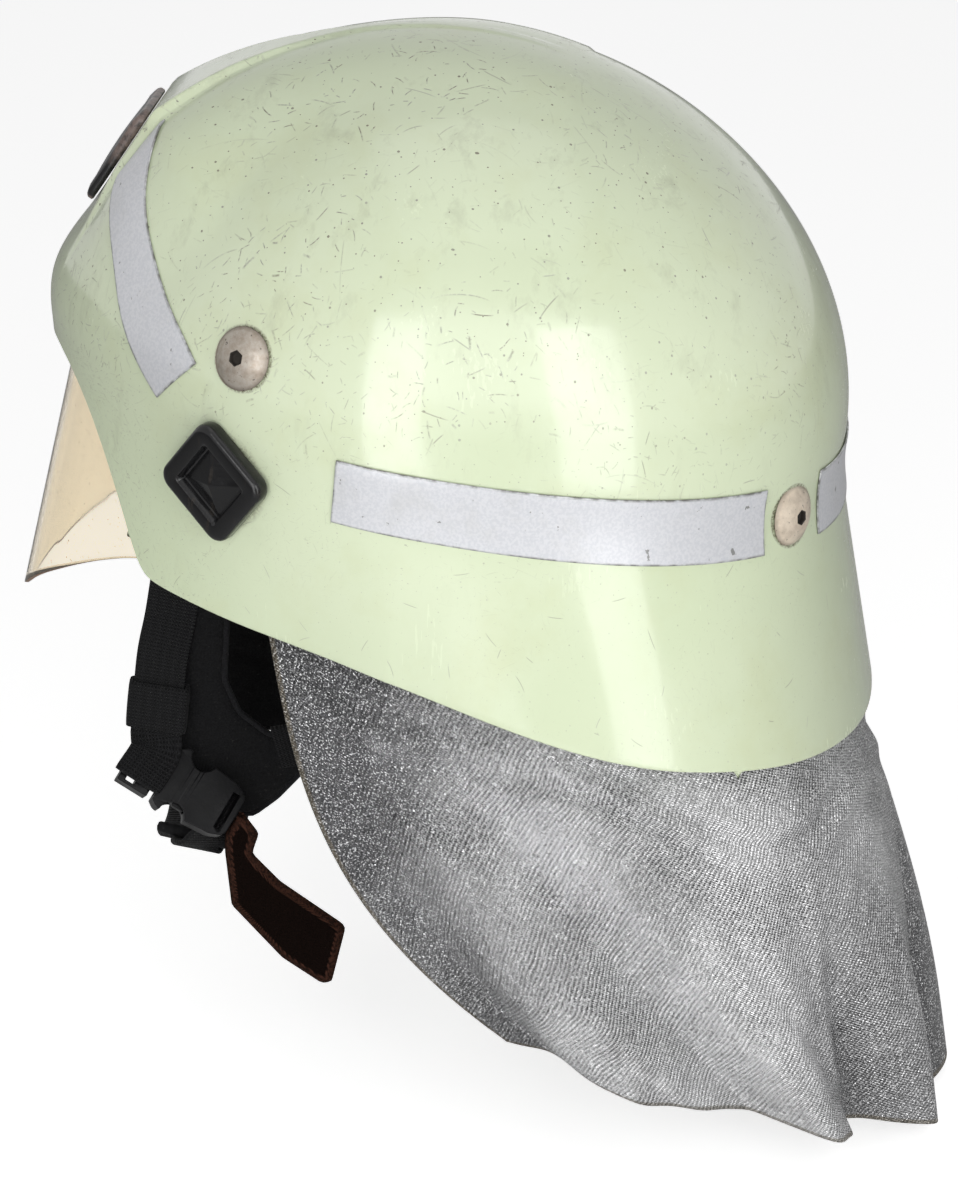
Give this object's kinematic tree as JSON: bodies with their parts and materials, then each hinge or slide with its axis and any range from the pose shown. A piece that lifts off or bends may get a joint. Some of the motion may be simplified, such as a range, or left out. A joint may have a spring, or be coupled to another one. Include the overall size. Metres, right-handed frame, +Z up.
{
  "type": "fire helmet",
  "caption": "Half-shell fire helmet with a flared neck guard, swinging visor, adjustable harness, buckled chin strap and hanging neck curtain.",
  "frame": {"origin": "centre of the support ring that the head rests in, on the mid-plane", "axes": "+Z up with the helmet on a level head, the front faces -Y, the wearer's left is +X"},
  "size_m": [0.254, 0.3843, 0.4477],
  "materials": {
    "shell": "glossy pale yellow-green moulding with scuffs",
    "badge": "black, worn edges",
    "film": "silver-grey reflective film",
    "steel": "dull steel",
    "screw_painted": "cream, worn",
    "lens": "clear amber sheet with fine specks",
    "plastic": "black moulding",
    "knob": "black, polished by wear",
    "buckle": "black acetal, satin",
    "padding": "soft dark leather over foam",
    "webbing": "black ribbed webbing",
    "cheek_cloth": "black cloth over thin foam, piped edge",
    "pile": "brown-black loop pile, stitched border",
    "aluminised_cloth": "aluminised twill, creased"
  },
  "bodies": {
    "root": {"shell": "shell", "emblem_plate": "badge", "front_strips": "film", "side_strips": "film", "rear_strip": "film", "front_screws": "steel", "rear_screws": "screw_painted", "front_anchors": "steel", "rear_anchors": "steel", "visor_pins": "steel", "pivot_blocks": "plastic", "support_ring": "plastic", "headband": "plastic", "sweatband": "padding", "cradle_straps": "webbing", "crown_pad": "padding", "front_hangers": "plastic", "rear_hangers": "plastic", "front_strap_left": "webbing", "front_strap_right": "webbing", "cheek_panel_left": "cheek_cloth", "cheek_panel_right": "cheek_cloth", "rear_strap_left": "webbing", "rear_strap_right": "webbing", "chin_strap": "webbing", "chin_pad": "webbing", "buckle_receiver": "buckle", "buckle_insert": "buckle", "curtain_rail": "plastic", "neck_curtain": "aluminised_cloth"},
    "visor": {"visor_lens": "lens", "visor_arms": "plastic"},
    "knob_left": {"knob_left": "knob", "knob_nut_left": "steel"},
    "knob_right": {"knob_right": "knob", "knob_nut_right": "steel"},
    "nape": {"nape_band": "plastic", "ratchet_housing": "plastic"},
    "ratchet": {"ratchet_knob": "knob", "ratchet_pinion": "plastic"},
    "keeper": {"strap_keeper": "webbing"},
    "prong_front": {"buckle_prong_front": "buckle"},
    "prong_rear": {"buckle_prong_rear": "buckle"},
    "tab": {"hook_tab": "pile"}
  },
  "joints": [
    {"name": "visor_swing", "type": "hinge", "parent": "root", "child": "visor", "pos_m": [0, -0.068, -0.038], "axis": [-1, 0, 0], "range_deg": [0, 30]},
    {"name": "knob_left_turn", "type": "hinge", "parent": "root", "child": "knob_left", "pos_m": [0.10103, -0.07336, -0.00989], "axis": [0.8699, -0.4916, -0.0399], "range_deg": [0, 90]},
    {"name": "knob_right_turn", "type": "hinge", "parent": "root", "child": "knob_right", "pos_m": [-0.10103, -0.07336, -0.00989], "axis": [-0.8699, -0.4916, -0.0399], "range_deg": [0, 90]},
    {"name": "nape_slide", "type": "slide", "parent": "root", "child": "nape", "axis": [0, 1, 0], "range_m": [-0.004, 0.01]},
    {"name": "ratchet_turn", "type": "hinge", "parent": "nape", "child": "ratchet", "pos_m": [0, 0.12, -0.0243], "axis": [0, 1, 0], "range_deg": [-50, 120]},
    {"name": "keeper_slide", "type": "slide", "parent": "root", "child": "keeper", "axis": [0.0366, 0.1221, 0.9918], "range_m": [0, 0.008]},
    {"name": "prong_front_squeeze", "type": "hinge", "parent": "root", "child": "prong_front", "pos_m": [0.06398, -0.11072, -0.15643], "axis": [0.766, 0.3501, 0.5391], "range_deg": [0, 8], "stiffness_Nm_per_rad": 0.02},
    {"name": "prong_rear_squeeze", "type": "hinge", "parent": "root", "child": "prong_rear", "pos_m": [0.05691, -0.10613, -0.14937], "axis": [-0.766, -0.3501, -0.5391], "range_deg": [0, 8], "stiffness_Nm_per_rad": 0.02},
    {"name": "tab_fold", "type": "hinge", "parent": "root", "child": "tab", "pos_m": [0.0615, -0.07921, -0.172], "axis": [0, 0.5446, 0.8387], "range_deg": [-25, 15]}
  ],
  "couplings": [
    {"joint": "ratchet_turn", "follows": "nape_slide", "rad_per_m": 200}
  ]
}
